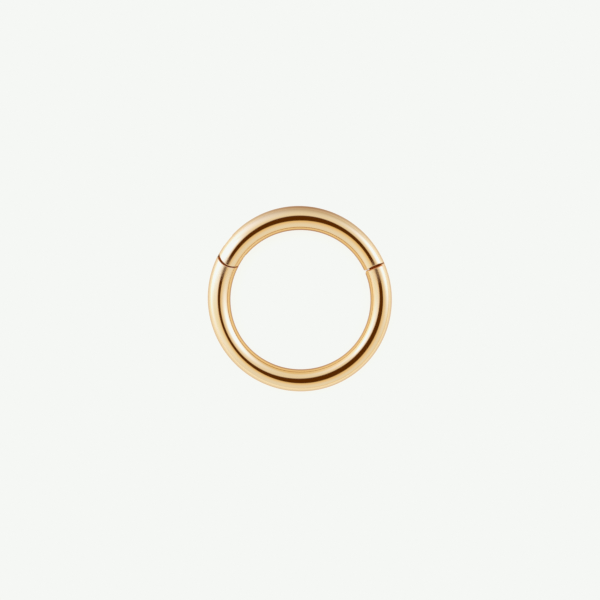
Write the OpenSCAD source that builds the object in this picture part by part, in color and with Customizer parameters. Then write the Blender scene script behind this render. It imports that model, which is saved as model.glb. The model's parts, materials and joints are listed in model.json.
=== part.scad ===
// Clicker ring: a ring of round wire, one segment of which swings open on a hinge pin.
// The ring lies flat. Seen from above, the hinge is at the upper left and the clasp at the upper right.
// The origin is the middle of the ring, on the surface that it lies on.
// Places round the ring are in degrees anticlockwise from the right, seen from above.

/* [Ring] */
// Inside diameter of the ring
inside_d = 8; // [6:0.5:14]
// Thickness of the round wire
wire_d = 1.2; // [1:0.05:1.6]
// Chamfer round the two end faces at the clasp
rim = 0.05; // [0.02:0.01:0.08]
// Easing of the body's inner corner at the clasp
easing = 0.12; // [0.08:0.01:0.16]

/* [Hinge] */
// Place of the hinge pin round the ring
pin_deg = 144.6; // [130:0.1:160]
// Diameter of the hinge pin
pin_d = 0.4; // [0.3:0.05:0.5]
// Radius of the knuckle about the pin, as a share of the wire's thickness
knuckle_share = 0.7; // [0.69:0.005:0.8]
// Thickness of the tongue that turns in the fork
tongue_t = 0.3; // [0.24:0.02:0.4]

/* [Clasp] */
// Place of the gap between the end faces round the ring
clasp_deg = 23.5; // [0:0.5:40]
// Gap between the two end faces
clasp_gap = 0.065; // [0.04:0.005:0.1]
// Thickness of the tab on the segment's free end
tab_t = 0.3; // [0.24:0.02:0.36]
// Length of the tab
tab_l = 0.62; // [0.56:0.02:0.7]
// Height of the nubs on the tab that click into dimples in the slot
nub_h = 0.04; // [0.03:0.005:0.05]

/* [Fit] */
// Gap on each face of the tongue and of the tab
slot_gap = 0.03; // [0.02:0.01:0.05]
// Gap between the knuckle and the hollow that it turns in
knuckle_gap = 0.04; // [0.03:0.01:0.06]
// Gap round the pin where the tongue turns on it
running_gap = 0.015; // [0.01:0.005:0.03]
// Gap round the pin where the fork holds it
held_gap = 0.005; // [0.004:0.001:0.008]
// Gap round each nub in its dimple
dimple_gap = 0.02; // [0.01:0.005:0.03]

/* [Hidden] */
$fn = 96;

gold = "#e8c887";
wire_r = wire_d / 2;
ring_r = inside_d / 2 + wire_r;
knuckle_r = knuckle_share * wire_d;
// The round end of the tongue stays a little inside the flanks of the wire
tongue_end_r = 0.96 * wire_r;
// The fork's slot reaches this far behind the pin, and its floor clears the tongue when the ring is open
fork_depth = 1.06 * wire_r;
// The tab reaches this far in from the middle of the wire, short of the body's eased corner
tab_in = 0.55 * wire_r;
tab_corner = 0.15;
// How far the nubs are from the middle of the gap
nub_y = tab_l / 2;
// A length that reaches well past the wire, for cutters
reach = 3 * wire_d;
// The two ends of the wire at the clasp
segment_end_deg = clasp_deg + arc_deg(clasp_gap / 2);
body_end_deg = clasp_deg - arc_deg(clasp_gap / 2);

// How many degrees round the ring a length along the wire takes up
function arc_deg(length) = length / ring_r * 180 / PI;

// Round wire between two places on the ring
module wire(from_deg, to_deg)
    translate([0, 0, wire_r])
        rotate([0, 0, from_deg])
            rotate_extrude(angle = to_deg - from_deg, $fn = 240)
                translate([ring_r, 0]) circle(d = wire_d);

// Moves a shape to a place on the wire, where X points outwards and Y anticlockwise along the wire
module at_wire(deg)
    rotate([0, 0, deg]) translate([ring_r, 0, wire_r]) children();

// A plate of the outline given, centred on the middle of the wire
module middle_layer(thickness)
    linear_extrude(height = thickness, center = true) children();

// Plates of the outline given, above and below a middle layer of the thickness given
module outer_layers(middle_t)
    for (side = [0, 1])
        mirror([0, 0, side]) translate([0, 0, middle_t / 2])
            linear_extrude(height = reach) children();

// The half plane on the side that Y comes from
module behind()
    translate([-reach / 2, -reach]) square(reach);

// What comes off an end that faces -Y to leave it half round about the origin
module round_end(r)
    difference() {
        behind();
        circle(r);
    }

// The tab seen from above, with the end face that it stands on along X. The wire's own flank ends it on the outside
module tab_outline() {
    translate([-tab_in, tab_corner - tab_l]) square([reach, 2 * tab_l]);
    translate([tab_corner - tab_in, -tab_l]) square([reach, 2 * tab_l]);
    translate([tab_corner - tab_in, tab_corner - tab_l]) circle(tab_corner);
}

// Ring-shaped cutter that chamfers an end face at the origin, on a wire that runs off along -Y
module rim_cutter()
    rotate([90, 0, 0]) translate([0, 0, -rim])
        difference() {
            cylinder(r = wire_r + 2 * rim, h = 3 * rim);
            cylinder(r1 = wire_r - 2 * rim, r2 = wire_r + rim, h = 3 * rim);
        }

// Wedge that eases the inner corner of such an end
module easing_cutter()
    translate([-wire_r, 0, 0]) rotate([0, 0, -45])
        cube([sqrt(2) * easing, reach, reach], center = true);

// Balls as thick as the tab, whose caps stand out of its two faces as nubs
module nub_balls(gap)
    at_wire(clasp_deg)
        for (side = [-1, 1])
            translate([0, -nub_y, side * nub_h]) sphere(d = tab_t + 2 * gap);

module pin_hole(gap)
    cylinder(d = pin_d + 2 * gap, h = reach, center = true);

// The fixed part: a tongue at the hinge and a slot at the clasp
module ring_body() color(gold)
    difference() {
        wire(pin_deg - arc_deg(wire_d), 360 + body_end_deg);
        at_wire(pin_deg) {
            outer_layers(tongue_t) circle(knuckle_r + knuckle_gap);
            middle_layer(reach) round_end(tongue_end_r);
            pin_hole(running_gap);
        }
        at_wire(body_end_deg) {
            middle_layer(tab_t + 2 * slot_gap)
                translate([-tab_in - slot_gap, -tab_l]) square([reach, 2 * tab_l]);
            rim_cutter();
            easing_cutter();
        }
        nub_balls(dimple_gap);
    }

// The part that swings open: a fork with a round knuckle at the hinge and a tab at the clasp
module hinged_segment() color(gold) {
    difference() {
        wire(segment_end_deg - arc_deg(tab_l + wire_r), pin_deg + arc_deg(wire_d));
        at_wire(pin_deg) {
            middle_layer(reach) rotate(180) round_end(knuckle_r);
            middle_layer(tongue_t + 2 * slot_gap) {
                circle(fork_depth);
                rotate(180) behind();
                translate([0, -fork_depth]) square([reach, 2 * fork_depth]);
            }
            pin_hole(held_gap);
        }
        at_wire(segment_end_deg) {
            outer_layers(tab_t) behind();
            middle_layer(reach) difference() {
                behind();
                tab_outline();
            }
            intersection() {
                mirror([0, 1, 0]) rim_cutter();
                outer_layers(tab_t) square(reach, center = true);
            }
        }
    }
    nub_balls(0);
}

// The pin, ground flush with the round of the wire
module hinge_pin() color(gold)
    intersection() {
        wire(pin_deg - arc_deg(pin_d), pin_deg + arc_deg(pin_d));
        at_wire(pin_deg) pin_hole(0);
    }

ring_body();
hinged_segment();
hinge_pin();
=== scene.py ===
import json
import math

import bpy
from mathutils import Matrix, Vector


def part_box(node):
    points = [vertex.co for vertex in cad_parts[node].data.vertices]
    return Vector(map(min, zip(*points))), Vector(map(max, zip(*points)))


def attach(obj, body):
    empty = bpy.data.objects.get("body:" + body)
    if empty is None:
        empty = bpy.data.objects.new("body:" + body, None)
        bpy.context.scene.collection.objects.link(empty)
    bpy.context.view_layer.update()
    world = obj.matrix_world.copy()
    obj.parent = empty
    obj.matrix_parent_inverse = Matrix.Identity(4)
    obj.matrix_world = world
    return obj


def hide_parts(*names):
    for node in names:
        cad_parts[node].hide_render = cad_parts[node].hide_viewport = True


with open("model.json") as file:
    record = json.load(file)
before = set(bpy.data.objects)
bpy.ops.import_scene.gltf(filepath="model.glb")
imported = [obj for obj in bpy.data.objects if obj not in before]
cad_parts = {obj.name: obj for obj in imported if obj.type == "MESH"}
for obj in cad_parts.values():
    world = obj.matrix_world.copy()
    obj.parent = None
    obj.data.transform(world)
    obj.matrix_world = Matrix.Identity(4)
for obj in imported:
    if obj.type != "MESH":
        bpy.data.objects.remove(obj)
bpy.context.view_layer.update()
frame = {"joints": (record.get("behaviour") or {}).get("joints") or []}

# Sizes, in millimetres. The frame gives the ring's own: its hinge pin stands on the middle line of the wire
METRE = 1000
PIN = Vector(frame["joints"][0]["pos_m"]) * METRE
RING_R = math.hypot(PIN.x, PIN.y)
WIRE_R = PIN.z
PIN_DEG = math.degrees(math.atan2(PIN.y, PIN.x))
PIN_R = (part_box("hinge_pin")[1].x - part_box("hinge_pin")[0].x) * METRE / 2

# The hinge: a knuckle on the segment turns in a hollow in the body, and a tongue on the body in the fork's
# slot. The hollow lies a little outwards, so that the gap is widest on the outside of the ring. The slot is
# deep enough for the tongue's outer flank when the ring is open
KNUCKLE_R = 0.84
HOLLOW_R = 0.91
HOLLOW_OUT = 0.065
TONGUE_T = 0.3
TONGUE_END_R = 0.576
TONGUE_ROOT = 1.75 * WIRE_R
FORK_SLOT = 0.36
FORK_DEPTH = 0.715
PIN_FIT = 0.001
PIN_PLAY = 0.015

# The clasp: two end faces that are a little hollow, so that their rims meet first, and a tab on the segment
# whose nubs click into dimples in a slot in the body
CLASP_DEG = 23.5
CLASP_GAP = 0.03
DISH = 0.045
DISH_R = 0.42
TAB_T = 0.3
TAB_L = 0.62
TAB_IN = 0.33
TAB_CORNER = 0.15
TAB_ROOT = WIRE_R / 2
TAB_SLOT = 0.36
NUB_H = 0.04
NUB_PLAY = 0.02

# How far the tongue and the tab lie inside the flanks of the wire
BLADE_INSET = 0.006

# Rounding left by the polishing: on the rims of the body's and the segment's ends, and on their inner
# corners at the clasp
BODY_RIM = 0.06
SEGMENT_RIM = 0.04
BODY_CORNER = 0.2
SEGMENT_CORNER = 0.1

# Swings round the ring of the wire's inner edge and of the border of its painted inner reflection: size,
# number of peaks, and the first one's place
INNER_SWING = (0.034, 1, -67)
INNER_REFLECTION_SWING = (0.106, 1, -58)

# The middles of the misted places, just on the body's side of the two joints
MISTED_DEG = (CLASP_DEG - 3, PIN_DEG + 13.5)

# Fineness of the meshes: corners round the wire, length of a row of faces along it, rows in a rounded rim,
# corners of a full circle in an outline, and rows of a ball round it and from pole to pole
AROUND = 96
ROW = 0.08
RIM_ROWS = 4
CIRCLE = 64
BALL_ROWS = (48, 24)
# Points nearer than this are one
WELD = 0.00001
# A length that reaches well past the wire, for cutters
REACH = 2 * WIRE_R

# The surface's true directions: how far off a point may lie and still be on the wire's surface, as a share
# of its radius, steps along the wire and round it over which its direction is measured, in degrees and
# radians, and how alike that direction and its face's own must be
ON_SURFACE = 0.002
STEP_DEG = 0.1
STEP_AROUND = 0.001
ALIKE = 0.9
# Faces that meet at less than this angle are shaded as one surface
SMOOTH_DEG = 30


def deg_along(length):
    """How many degrees round the ring a length along the wire takes up."""
    return math.degrees(length / RING_R)


def wave(deg, mean, *swings):
    """A size that swings about its mean round the ring.

    A swing has a size, a number of peaks and the first one's place.
    """
    return mean + sum(size * math.cos(math.radians(peaks * (deg - at))) for size, peaks, at in swings)


def section(deg):
    """The wire's section at a place on the ring: inner edge, ridge, outer edge, and how flat the ridge is.

    The edges and the ridge are measured from the middle line. The wire is bent and polished by hand, so that
    it isn't quite even: it is widest at the upper left.
    """
    inner = wave(deg, -0.637, INNER_SWING, (0.012, 2, -8), (0.010, 4, 45))
    ridge = wave(deg, 0.008, (0.008, 1, -75), (0.020, 2, 61))
    outer = wave(deg, 0.636, (0.033, 1, 132), (0.033, 2, -62))
    flatness = wave(deg, 0.072, (0.096, 1, -19), (0.088, 2, -32))
    return inner, ridge, outer, flatness


def profile(deg, around):
    """A point of the section, across from the middle line and up, at an angle from the ridge outwards."""
    inner, ridge, outer, flatness = section(deg)
    sine, cosine = math.sin(around), math.cos(around)
    across = ridge + sine * (outer - ridge if sine > 0 else ridge - inner)
    return across, WIRE_R * cosine * (1 + flatness * sine ** 2)


def on_ring(deg, across, height):
    """The point at a place on the ring, across from the wire's middle line and up from it."""
    turn = math.radians(deg)
    radius = RING_R + across
    return Vector((radius * math.cos(turn), radius * math.sin(turn), WIRE_R + height))


def deselect():
    bpy.ops.object.select_all(action="DESELECT")


def activate(piece):
    """Makes a piece the only one that operators act on."""
    deselect()
    bpy.context.view_layer.objects.active = piece
    piece.select_set(True)


def edit(piece):
    """Opens a piece for editing with all of it selected."""
    activate(piece)
    bpy.ops.object.mode_set(mode="EDIT")
    bpy.ops.mesh.select_all(action="SELECT")


def close_edit():
    bpy.ops.object.mode_set(mode="OBJECT")


def apply_place(piece):
    """Puts the object's place, turn and size into its mesh."""
    activate(piece)
    bpy.ops.object.transform_apply(location=True, rotation=True, scale=True)


def boolean(piece, tool, operation="DIFFERENCE"):
    """Cuts, joins or trims a piece with another one, which is used up."""
    modifier = piece.modifiers.new(tool.name, "BOOLEAN")
    modifier.operation = operation
    modifier.solver = "EXACT"
    modifier.object = tool
    activate(piece)
    bpy.ops.object.modifier_apply(modifier=modifier.name)
    bpy.data.objects.remove(tool)


# Ends of the wire. Each is a function from a distance from the ring's axis to the end's place round the
# ring there


def flat_end(deg):
    return lambda radius: deg


def hinge_end(end_r, out=0.0):
    """An end that follows a circle about the hinge pin, or about a point a little outwards of it."""
    centre_r = RING_R + out

    def place(radius):
        cosine = (radius ** 2 + centre_r ** 2 - end_r ** 2) / (2 * radius * centre_r)
        return PIN_DEG + math.degrees(math.acos(cosine))
    return place


def clasp_end(deg, side, corner):
    """A hollow end with its metal on one side of its rims, and a rounded corner on the inside of the ring."""
    inner = section(deg)[0]

    def place(radius):
        into = max(0, corner - (radius - RING_R - inner))
        back = corner - math.sqrt(max(0, corner ** 2 - into ** 2))
        back += DISH * max(0, 1 - ((radius - RING_R) / DISH_R) ** 2)
        return deg + side * deg_along(back)
    return place


def wire_loops(length, rim, inset):
    """The loops of a length of wire, more closely set in its rounded rims.

    Each is its share of the way along, and how far it lies back from its end and in from the surface.
    """
    rows = math.ceil(length / ROW)
    loops = [(row / rows, 0, inset) for row in range(rows + 1)]
    if not rim:
        return loops
    turns = [math.pi / 2 * row / RIM_ROWS for row in range(RIM_ROWS + 1)]
    rounding = [(rim * (1 - math.sin(turn)), rim * (1 - math.cos(turn))) for turn in turns]
    return ([(0, back, into) for back, into in reversed(rounding)] + loops[2:-2]
            + [(1, back, into) for back, into in rounding])


def wire(name, start, end, rim=0.0, inset=0.0):
    """A closed length of the ring's wire between two ends, with rounded rims.

    The rows of faces follow the two ends, so that reflections run clean up to them.
    """
    from_deg, to_deg = start(RING_R), end(RING_R)
    loops = wire_loops(math.radians(to_deg - from_deg) * RING_R, rim, inset)
    begin = math.radians(from_deg)
    step = math.radians(to_deg - from_deg) / (len(loops) - 1)
    deselect()
    bpy.ops.mesh.primitive_circle_add(vertices=AROUND, radius=WIRE_R, rotation=(math.pi / 2, 0, begin),
                                      location=on_ring(from_deg, 0, 0))
    piece = bpy.context.object
    piece.name = name
    apply_place(piece)
    edit(piece)
    bpy.ops.mesh.spin(steps=len(loops) - 1, angle=step * (len(loops) - 1), center=(0, 0, 0), axis=(0, 0, -1))
    close_edit()
    for vertex in piece.data.vertices:
        x, y, z = vertex.co
        share, back, into = loops[int((math.atan2(y, x) - begin + step / 2) % (2 * math.pi) / step)]
        around = math.atan2(math.hypot(x, y) - RING_R, z - WIRE_R)
        deg = from_deg + share * (to_deg - from_deg)
        size = 1 - into / WIRE_R
        radius = RING_R + size * profile(deg, around)[0]
        deg = start(radius) + share * (end(radius) - start(radius))
        deg += deg_along(back if share < 0.5 else -back)
        across, height = profile(deg, around)
        vertex.co = on_ring(deg, size * across, size * height)
    close_ends(piece)
    return piece


def close_ends(piece):
    """Closes the two open ends of a length of wire with faces that run straight up and down."""
    edit(piece)
    bpy.ops.mesh.select_all(action="DESELECT")
    bpy.ops.mesh.select_non_manifold(extend=False, use_wire=False, use_multi_face=False,
                                     use_non_contiguous=False, use_verts=False)
    bpy.ops.mesh.extrude_edges_move()
    bpy.ops.transform.resize(value=(1, 1, 0), center_override=(0, 0, WIRE_R))
    bpy.ops.mesh.select_all(action="SELECT")
    bpy.ops.mesh.remove_doubles(threshold=WELD)
    bpy.ops.mesh.normals_make_consistent(inside=False)
    close_edit()


def plate(name, outline, thickness, deg):
    """A plate about the middle of the wire's height. Its outline's X points outwards and Y along the wire."""
    deselect()
    bpy.ops.mesh.primitive_circle_add(vertices=len(outline), radius=1, fill_type="NGON")
    piece = bpy.context.object
    piece.name = name
    for vertex, (x, y) in zip(piece.data.vertices, outline):
        vertex.co = (RING_R + x, y, WIRE_R - thickness / 2)
    piece.rotation_euler.z = math.radians(deg)
    apply_place(piece)
    edit(piece)
    bpy.ops.mesh.extrude_region_move(TRANSFORM_OT_translate={"value": (0, 0, thickness)})
    bpy.ops.mesh.select_all(action="SELECT")
    bpy.ops.mesh.normals_make_consistent(inside=False)
    close_edit()
    return piece


def arc(radius, from_deg, to_deg, x=0.0, y=0.0, circle=CIRCLE):
    """Points of an outline along an arc, as many as its share of a full circle's."""
    steps = round(circle * (to_deg - from_deg) / 360)
    turns = [math.radians(from_deg + (to_deg - from_deg) * step / steps) for step in range(steps + 1)]
    return [(x + radius * math.cos(turn), y + radius * math.sin(turn)) for turn in turns]


def blade(name, from_deg, to_deg, outline, thickness, deg):
    """A flat blade cut from the wire, a little inside its surface."""
    piece = wire(name, flat_end(from_deg), flat_end(to_deg), inset=BLADE_INSET)
    boolean(piece, plate(name + "_shape", outline, thickness, deg), "INTERSECT")
    return piece


def bore(piece, radius):
    """Drills a piece through for the hinge pin."""
    boolean(piece, plate("bore", arc(radius, 0, 360)[:-1], 2 * REACH, PIN_DEG))


def nubs(piece, operation, gap):
    """Two balls as thick as the tab, whose caps are the nubs on it or the dimples in its slot."""
    segments, rings = BALL_ROWS
    deg = CLASP_DEG - deg_along(TAB_L / 2)
    for side in (-1, 1):
        deselect()
        bpy.ops.mesh.primitive_uv_sphere_add(segments=segments, ring_count=rings, radius=TAB_T / 2 + gap,
                                             location=on_ring(deg, 0, side * NUB_H))
        ball = bpy.context.object
        apply_place(ball)
        boolean(piece, ball, operation)


def wire_normal(point):
    """The direction that the wire's surface faces at a point on it, or None away from the surface."""
    deg = math.degrees(math.atan2(point.y, point.x))
    inner, ridge, outer, flatness = section(deg)
    across = math.hypot(point.x, point.y) - RING_R - ridge
    sine = across / (outer - ridge if across > 0 else ridge - inner)
    cosine = (point.z - WIRE_R) / WIRE_R / (1 + flatness * sine ** 2)
    if abs(math.hypot(sine, cosine) - 1) > ON_SURFACE:
        return None
    around = math.atan2(sine, cosine)
    here = on_ring(deg, *profile(deg, around))
    onwards = on_ring(deg + STEP_DEG, *profile(deg + STEP_DEG, around))
    outwards = on_ring(deg, *profile(deg, around + STEP_AROUND))
    return (outwards - here).cross(onwards - here).normalized()


def finish(piece, node):
    """Smooths the shading, brings the piece to its real size and sets it in its node's place."""
    activate(piece)
    bpy.ops.object.shade_smooth_by_angle(angle=math.radians(SMOOTH_DEG))
    # The wire's surface gets its true normals, because a mirror finish shows the facets that the cuts leave
    mesh = piece.data
    normals = [Vector()] * len(mesh.loops)
    for face in mesh.polygons:
        for loop in face.loop_indices:
            normal = wire_normal(mesh.vertices[mesh.loops[loop].vertex_index].co)
            if normal and normal.dot(face.normal) > ALIKE:
                normals[loop] = normal
    mesh.normals_split_custom_set(normals)
    piece.scale = (1 / METRE, 1 / METRE, 1 / METRE)
    apply_place(piece)
    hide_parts(node)
    return piece


# The pieces


def make_body():
    """The fixed part: a hollow and a tongue at the hinge, and a rounded end with a slot at the clasp."""
    end_deg = 360 + CLASP_DEG - deg_along(CLASP_GAP / 2)
    piece = wire("body_wire", hinge_end(HOLLOW_R, HOLLOW_OUT), clasp_end(end_deg, -1, BODY_CORNER), BODY_RIM)
    outline = [(REACH, 0), (REACH, REACH), (-REACH, REACH), (-REACH, 0)] + arc(TONGUE_END_R, 180, 360)
    from_deg, to_deg = PIN_DEG - deg_along(WIRE_R), PIN_DEG + deg_along(TONGUE_ROOT)
    boolean(piece, blade("tongue", from_deg, to_deg, outline, TONGUE_T, PIN_DEG), "UNION")
    bore(piece, PIN_R + PIN_PLAY)
    inside = TAB_IN + (TAB_SLOT - TAB_T) / 2
    slot = [(REACH, REACH), (-inside, REACH), (-inside, -TAB_L), (REACH, -TAB_L)]
    boolean(piece, plate("tab_slot", slot, TAB_SLOT, end_deg))
    nubs(piece, "DIFFERENCE", NUB_PLAY)
    return finish(piece, "ring_body")


def make_segment():
    """The part that swings open: a fork with a round knuckle at the hinge, and a tab at the clasp."""
    start_deg = CLASP_DEG + deg_along(CLASP_GAP / 2)
    piece = wire("segment_wire", clasp_end(start_deg, 1, SEGMENT_CORNER), hinge_end(KNUCKLE_R), SEGMENT_RIM)
    fork = [(REACH, -FORK_DEPTH), (REACH, REACH), (-REACH, REACH), (-REACH, 0)] + arc(FORK_DEPTH, 180, 270)
    boolean(piece, plate("fork_slot", fork, FORK_SLOT, PIN_DEG))
    bore(piece, PIN_R + PIN_FIT)
    outline = ([(REACH, -TAB_L), (REACH, REACH), (-TAB_IN, REACH)]
               + arc(TAB_CORNER, 180, 270, TAB_CORNER - TAB_IN, TAB_CORNER - TAB_L, CIRCLE / 2))
    from_deg, to_deg = start_deg - deg_along(TAB_L + WIRE_R), start_deg + deg_along(TAB_ROOT)
    boolean(piece, blade("tab", from_deg, to_deg, outline, TAB_T, start_deg), "UNION")
    nubs(piece, "UNION", 0)
    return finish(piece, "hinged_segment")


def make_pin():
    """The hinge pin, ground flush with the round of the wire."""
    piece = wire("hinge_rod", flat_end(PIN_DEG - deg_along(WIRE_R)), flat_end(PIN_DEG + deg_along(WIRE_R)))
    boolean(piece, plate("pin_shape", arc(PIN_R, 0, 360)[:-1], 2 * REACH, PIN_DEG), "INTERSECT")
    return finish(piece, "hinge_pin")


# Materials

# The gold's tone, and the reflections painted over it. A pair of limits says where a tone starts and where it
# is full, here from the ring's axis
TONE = "#e9d1a8"
# Painted reflection: the inside of the ring is coloured a deeper gold, as if it mirrored the gold across from
# it
INNER_REFLECTION_TONE = "#e5bd7c"
INNER_REFLECTION_R = (RING_R - 0.38, RING_R - 0.49)
# Painted dark reflection: a darker, brownish line along the innermost edge
INNER_EDGE_DARK_REFLECTION_TONE = "#b5855d"
INNER_EDGE_DARK_REFLECTION_R = (RING_R - 0.56, RING_R - 0.63)
# Painted dull reflection: a brownish tone on the outside at the top, strongest at one place round the ring,
# and fading out to both sides of it
DULL_REFLECTION_TONE = "#a77d56"
DULL_REFLECTION_R = (RING_R + 0.20, RING_R + 0.66)
DULL_REFLECTION_DEG = 84
DULL_REFLECTION_OFF_DEG = (61, 0)

# Painted shade and orange reflection of gold in gold, in the two gaps, where the gold is also rougher. The
# faces inside the two gaps are nearer to the wire's middle line than its surface is
GAP_SHADE_AND_REFLECTION_TONE = "#cc7830"
GAP_ROUGHNESS = 0.25
GAP_FACE_DEPTH = (0.597, 0.565)
# Limits of the gaps, beyond which the tab, the tongue and their slots are left unpainted: to both sides of
# the clasp, and from the hinge pin on the knuckle's side and the hollow's
CLASP_GAP_OFF_DEG = (2.4, 1.4)
HINGE_GAP_FROM_R = (KNUCKLE_R - 0.10, KNUCKLE_R - 0.04)
HINGE_GAP_TO_R = (HOLLOW_R + 0.25, HOLLOW_R + 0.15)
# Limits of the painted orange reflection on the body's rims: at the clasp along the ring and to both sides of
# the wire's middle line, and at the hinge from the pin, from the hollow's middle, and across and along the
# ring
CLASP_RIM_FROM_DEG = (CLASP_DEG - 1.8, CLASP_DEG - 1)
CLASP_RIM_TO_DEG = (CLASP_DEG, CLASP_DEG - 0.2)
CLASP_RIM_OFF_R = (0.5, 0.35)
HINGE_RIM_FROM_R = (KNUCKLE_R - 0.02, KNUCKLE_R - 0.003)
HINGE_RIM_TO_R = (HOLLOW_R + BODY_RIM, HOLLOW_R)
HINGE_RIM_ACROSS_R = (RING_R + 0.62, RING_R + 0.57)
HINGE_RIM_DEG = (PIN_DEG + 4, PIN_DEG + 6)

# The mirror's roughness: least and most of the buffing's haze, the size of its clouds, the range of the
# noise that draws them, and the most that is added at a misted place, whose limits are distances from its
# middle
HAZE = (0.05, 0.09)
HAZE_SIZE = 0.3
HAZE_NOISE = (0.3, 0.7)
MIST = 0.19
MIST_R = (1.15, 0.5)


def linear(hex_colour):
    """An sRGB hex colour as linear RGBA."""
    parts = [int(hex_colour[i:i + 2], 16) / 255 for i in (1, 3, 5)]
    return tuple(c / 12.92 if c <= 0.04045 else ((c + 0.055) / 1.055) ** 2.4 for c in parts) + (1.0,)


def add(tree, kind, settings=None, **inputs):
    """Adds a node, with its settings, and its inputs as values or as the sockets that feed them."""
    node = tree.nodes.new(kind)
    for name, value in (settings or {}).items():
        setattr(node, name, value)
    for name, value in inputs.items():
        socket = node.inputs[int(name[1:])] if name[0] == "i" and name[1:].isdigit() else node.inputs[name]
        if isinstance(value, bpy.types.NodeSocket):
            tree.links.new(value, socket)
        else:
            socket.default_value = value
    return node


def mask(tree, *limited):
    """A share that is full where each value is past its limits, and rises softly between them.

    Each value comes with its limits: where there is none of the share, and where it is full.
    """
    share = 1.0
    for value, (none_at, full_at) in limited:
        rise = add(tree, "ShaderNodeMapRange", {"interpolation_type": "SMOOTHSTEP"}, i0=value,
                   i1=none_at, i2=full_at, i3=0.0, i4=1.0).outputs[0]
        share = add(tree, "ShaderNodeMath", {"operation": "MULTIPLY"}, i0=rise, i1=share).outputs[0]
    return share


def ring_places(tree):
    """Where a point of the ring is, in millimetres and degrees.

    Its place, its place seen from above, its distance from the ring's axis, its degrees round the ring, and
    its distance from the wire's middle line.
    """
    place = add(tree, "ShaderNodeTexCoord").outputs["Object"]
    place = add(tree, "ShaderNodeVectorMath", {"operation": "SCALE"}, i0=place, Scale=METRE).outputs[0]
    parts = add(tree, "ShaderNodeSeparateXYZ", i0=place).outputs
    flat = add(tree, "ShaderNodeCombineXYZ", X=parts["X"], Y=parts["Y"]).outputs[0]
    radius = add(tree, "ShaderNodeVectorMath", {"operation": "LENGTH"}, i0=flat).outputs["Value"]
    turn = add(tree, "ShaderNodeMath", {"operation": "ARCTAN2"}, i0=parts["Y"], i1=parts["X"]).outputs[0]
    turn = add(tree, "ShaderNodeMath", {"operation": "DEGREES"}, i0=turn).outputs[0]
    in_section = add(tree, "ShaderNodeCombineXYZ", X=radius, Y=parts["Z"]).outputs[0]
    depth = add(tree, "ShaderNodeVectorMath", {"operation": "DISTANCE"}, i0=in_section,
                i1=(RING_R, WIRE_R, 0))
    return place, flat, radius, turn, depth.outputs["Value"]


def off(tree, value, middle):
    """How far a value is from a middle one."""
    value = add(tree, "ShaderNodeMath", {"operation": "SUBTRACT"}, i0=value, i1=middle).outputs[0]
    return add(tree, "ShaderNodeMath", {"operation": "ABSOLUTE"}, i0=value).outputs[0]


def less_swing(tree, radius, turn, swing):
    """The distance from the ring's axis, less a swing round the ring."""
    size, peaks, at = swing
    turn = add(tree, "ShaderNodeMath", {"operation": "SUBTRACT"}, i0=turn, i1=at).outputs[0]
    turn = add(tree, "ShaderNodeMath", {"operation": "MULTIPLY"}, i0=turn, i1=math.radians(peaks)).outputs[0]
    cosine = add(tree, "ShaderNodeMath", {"operation": "COSINE"}, i0=turn).outputs[0]
    return add(tree, "ShaderNodeMath", {"operation": "MULTIPLY_ADD"}, i0=cosine, i1=-size,
               i2=radius).outputs[0]


def from_hinge(tree, flat, out):
    """Distance, seen from above, from the hinge pin or from a point that much outwards of it."""
    middle = on_ring(PIN_DEG, out, 0)
    return add(tree, "ShaderNodeVectorMath", {"operation": "DISTANCE"}, i0=flat,
               i1=(middle.x, middle.y, 0)).outputs["Value"]


def gap_shade_and_reflection_share(tree, flat, radius, turn, depth):
    """Where shade and an orange reflection of gold in gold are painted: on the faces inside the two gaps, and
    on the body's rims at both.
    """
    from_pin, from_hollow = from_hinge(tree, flat, 0), from_hinge(tree, flat, HOLLOW_OUT)
    masks = (
        mask(tree, (depth, GAP_FACE_DEPTH), (off(tree, turn, CLASP_DEG), CLASP_GAP_OFF_DEG)),
        mask(tree, (depth, GAP_FACE_DEPTH), (from_pin, HINGE_GAP_FROM_R), (from_pin, HINGE_GAP_TO_R)),
        mask(tree, (turn, CLASP_RIM_FROM_DEG), (turn, CLASP_RIM_TO_DEG),
             (off(tree, radius, RING_R), CLASP_RIM_OFF_R)),
        mask(tree, (from_pin, HINGE_RIM_FROM_R), (from_hollow, HINGE_RIM_TO_R),
             (radius, HINGE_RIM_ACROSS_R), (turn, HINGE_RIM_DEG)),
    )
    gap_shade_and_reflection = 0.0
    for share in masks:
        gap_shade_and_reflection = add(tree, "ShaderNodeMath", {"operation": "MAXIMUM"}, i0=share, i1=gap_shade_and_reflection).outputs[0]
    return gap_shade_and_reflection


def gold_colour(tree, radius, turn, gap_shade_and_reflection):
    """The gold's own tone, with painted reflections over it: a deeper gold inside, a dark line on the
    innermost edge, a dull brown outside at the top, and shade with an orange glow in the gaps.
    """
    layers = (
        (mask(tree, (less_swing(tree, radius, turn, INNER_REFLECTION_SWING), INNER_REFLECTION_R)), INNER_REFLECTION_TONE),
        (mask(tree, (less_swing(tree, radius, turn, INNER_SWING), INNER_EDGE_DARK_REFLECTION_R)), INNER_EDGE_DARK_REFLECTION_TONE),
        (mask(tree, (off(tree, turn, DULL_REFLECTION_DEG), DULL_REFLECTION_OFF_DEG), (radius, DULL_REFLECTION_R)), DULL_REFLECTION_TONE),
        (gap_shade_and_reflection, GAP_SHADE_AND_REFLECTION_TONE),
    )
    colour = linear(TONE)
    for share, tone in layers:
        colour = add(tree, "ShaderNodeMix", {"data_type": "RGBA"}, i0=share, i6=colour,
                     i7=linear(tone)).outputs[2]
    return colour


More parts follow.
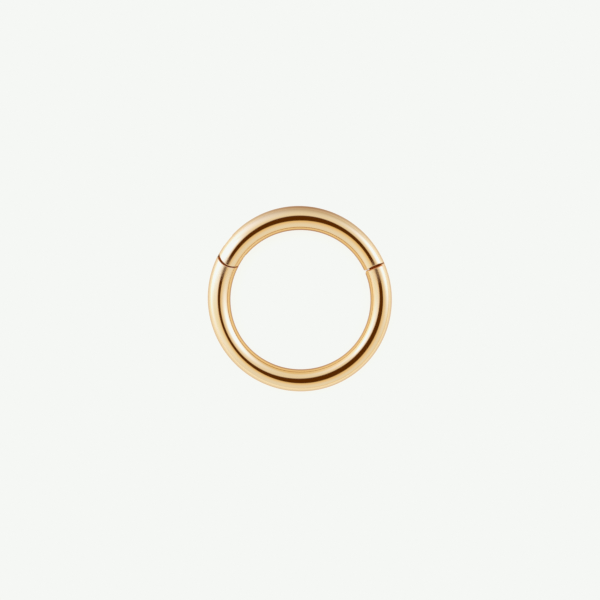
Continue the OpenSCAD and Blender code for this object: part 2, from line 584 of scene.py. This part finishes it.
def gold_roughness(tree, place, gap_shade_and_reflection):
    """The faint, uneven haze of the buffing, and what the mist and the painted gaps add to it."""
    haze = add(tree, "ShaderNodeTexNoise", Vector=place, Scale=1 / HAZE_SIZE, Detail=3.0)
    roughness = add(tree, "ShaderNodeMapRange", i0=haze.outputs[0], i1=HAZE_NOISE[0], i2=HAZE_NOISE[1],
                    i3=HAZE[0], i4=HAZE[1]).outputs[0]
    layers = [(gap_shade_and_reflection, GAP_ROUGHNESS)]
    for deg in MISTED_DEG:
        far = add(tree, "ShaderNodeVectorMath", {"operation": "DISTANCE"}, i0=place, i1=on_ring(deg, 0, 0))
        layers.append((mask(tree, (far.outputs["Value"], MIST_R)), MIST))
    for share, most in layers:
        roughness = add(tree, "ShaderNodeMath", {"operation": "MULTIPLY_ADD"}, i0=share, i1=most,
                        i2=roughness).outputs[0]
    return roughness


def polished_gold():
    """14 carat yellow gold wire, buffed to a mirror.

    The inside of the ring is painted a deeper tone, as a reflection of the gold across from it, and the
    outside at the top a dull brownish reflection. Beside the two joints, which are finished by hand, the
    mirror is a little misted, and the faces inside them are painted with shade and an orange reflection of
    gold in gold.
    """
    material = bpy.data.materials.new("buffed_14_carat_gold")
    material.use_nodes = True
    tree = material.node_tree
    shader = tree.nodes["Principled BSDF"]
    shader.inputs["Metallic"].default_value = 1
    # Gold hardly whitens towards its outline
    shader.inputs["Specular Tint"].default_value = linear("#efdcd0")
    place, flat, radius, turn, depth = ring_places(tree)
    # Where shade and an orange reflection of gold in gold are painted, in the gaps and on the body's rims
    gap_shade_and_reflection = gap_shade_and_reflection_share(tree, flat, radius, turn, depth)
    tree.links.new(gold_colour(tree, radius, turn, gap_shade_and_reflection), shader.inputs["Base Color"])
    tree.links.new(gold_roughness(tree, place, gap_shade_and_reflection), shader.inputs["Roughness"])
    return material


# The studio

# In metres
FLOOR_R = 0.6


def studio_floor():
    """A round sheet of white acrylic, lit from behind, so that the ring throws next to no shadow on it."""
    deselect()
    bpy.ops.mesh.primitive_circle_add(vertices=CIRCLE, radius=FLOOR_R, fill_type="NGON")
    floor = bpy.context.object
    floor.name = "studio_floor"
    material = bpy.data.materials.new("backlit_white_acrylic")
    material.use_nodes = True
    shader = material.node_tree.nodes["Principled BSDF"]
    shader.inputs["Base Color"].default_value = linear("#646464")
    shader.inputs["Roughness"].default_value = 0.4
    shader.inputs["Emission Color"].default_value = linear("#fffffa")
    shader.inputs["Emission Strength"].default_value = 0.83
    floor.data.materials.append(material)


# The patches of light that the gold mirrors: where their middles are, in degrees round the ring and from
# straight overhead, their half widths in both directions, the softness of their edges, and their light
PATCHES = [
    # azimuth, overhead, half_azimuth, half_overhead, softness, light
    # A warm card, low at the lower right
    (320.5, 93.0, 54.0, 17.0, 0.28, (0.97, 0.82, 0.56)),
    # The large, cool lamp at the left
    (161.0, 67.5, 39.5, 34.5, 0.55, (1.33, 1.55, 2.30)),
    # The small, cool lamp at the upper right
    (30.0, 60.5, 24.0, 20.5, 0.90, (1.38, 1.73, 2.71)),
    # The large lamp's brightest part, and the dimmer cloth beside it
    (163.5, 41.0, 16.5, 28.0, 0.18, (1.25, 1.75, 2.99)),
    (193.5, 43.5, 20.5, 25.0, 0.93, (1.03, 1.10, 1.07)),
    # A tall, warm card at the top
    (67.5, 122.0, 20.0, 67.5, 0.87, (0.91, 0.85, 0.69)),
    # The amber edge of the camera's hole, and the dark hole itself
    (264.0, 11.0, 21.5, 25.0, 0.93, (0.98, 0.67, 0.23)),
    (268.1, 2.5, 11.7, 21.3, 0.17, (0.113, 0.032, 0.0)),
]
DOME_LIGHT = (0.965, 0.975, 0.965)
# The photograph's white, which is a little under full white
PICTURE_WHITE = "#f5f7f4"


def studio_light():
    """A light tent: a pale dome with brighter and darker patches, and the camera's dark hole overhead."""
    world = bpy.data.worlds.new("light_tent")
    bpy.context.scene.world = world
    world.use_nodes = True
    tree = world.node_tree
    direction = add(tree, "ShaderNodeTexCoord").outputs["Generated"]
    colour = (*DOME_LIGHT, 1)
    for azimuth, overhead, half_azimuth, half_overhead, softness, light in PATCHES:
        turned = add(tree, "ShaderNodeMapping", {"vector_type": "TEXTURE"}, Vector=direction,
                     Rotation=(0, math.radians(overhead), math.radians(azimuth)),
                     Scale=(math.sin(math.radians(half_overhead)), math.sin(math.radians(half_azimuth)), 1))
        parts = add(tree, "ShaderNodeSeparateXYZ", i0=turned.outputs[0])
        flat = add(tree, "ShaderNodeCombineXYZ", X=parts.outputs["X"], Y=parts.outputs["Y"])
        far = add(tree, "ShaderNodeVectorMath", {"operation": "LENGTH"}, i0=flat.outputs[0])
        inside = mask(tree, (far.outputs["Value"], (1 + softness, 1 - softness)))
        facing = add(tree, "ShaderNodeMath", {"operation": "GREATER_THAN"}, i0=parts.outputs["Z"], i1=0.0)
        share = add(tree, "ShaderNodeMath", {"operation": "MULTIPLY"}, i0=inside, i1=facing.outputs[0])
        colour = add(tree, "ShaderNodeMix", {"data_type": "RGBA"}, i0=share.outputs[0], i6=colour,
                     i7=(*light, 1)).outputs[2]
    tree.links.new(colour, tree.nodes["Background"].inputs["Color"])


def camera():
    """Straight above the ring, which the photograph shows face on."""
    pixels_per_mm = 17.65
    centre_px = (300.2, 299.1)
    picture_px = 600
    data = bpy.data.cameras.new("camera")
    data.lens = 200
    data.clip_start = 0.001
    data.clip_end = 5
    eye = bpy.data.objects.new("camera", data)
    bpy.context.scene.collection.objects.link(eye)
    across = (picture_px / 2 - centre_px[0]) / pixels_per_mm
    along = (centre_px[1] - picture_px / 2) / pixels_per_mm
    distance = picture_px / pixels_per_mm * data.lens / data.sensor_width
    eye.location = Vector((across, along, WIRE_R + distance)) / METRE
    bpy.context.scene.camera = eye


def picture_white():
    """Every light above the photograph's white shows as that white."""
    view = bpy.context.scene.view_settings
    view.view_transform = "Standard"
    view.use_curve_mapping = True
    view.curve_mapping.extend = "HORIZONTAL"
    for curve, white in zip(view.curve_mapping.curves, linear(PICTURE_WHITE)):
        curve.points[1].location = (white, white)
        for point in curve.points:
            point.handle_type = "VECTOR"
    view.curve_mapping.update()


gold = polished_gold()
pieces = ((make_body(), "fixed_part"), (make_segment(), "opening_part"), (make_pin(), "opening_part"))
for piece, body in pieces:
    piece.data.materials.clear()
    piece.data.materials.append(gold)
    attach(piece, body)
studio_floor()
studio_light()
camera()
picture_white()
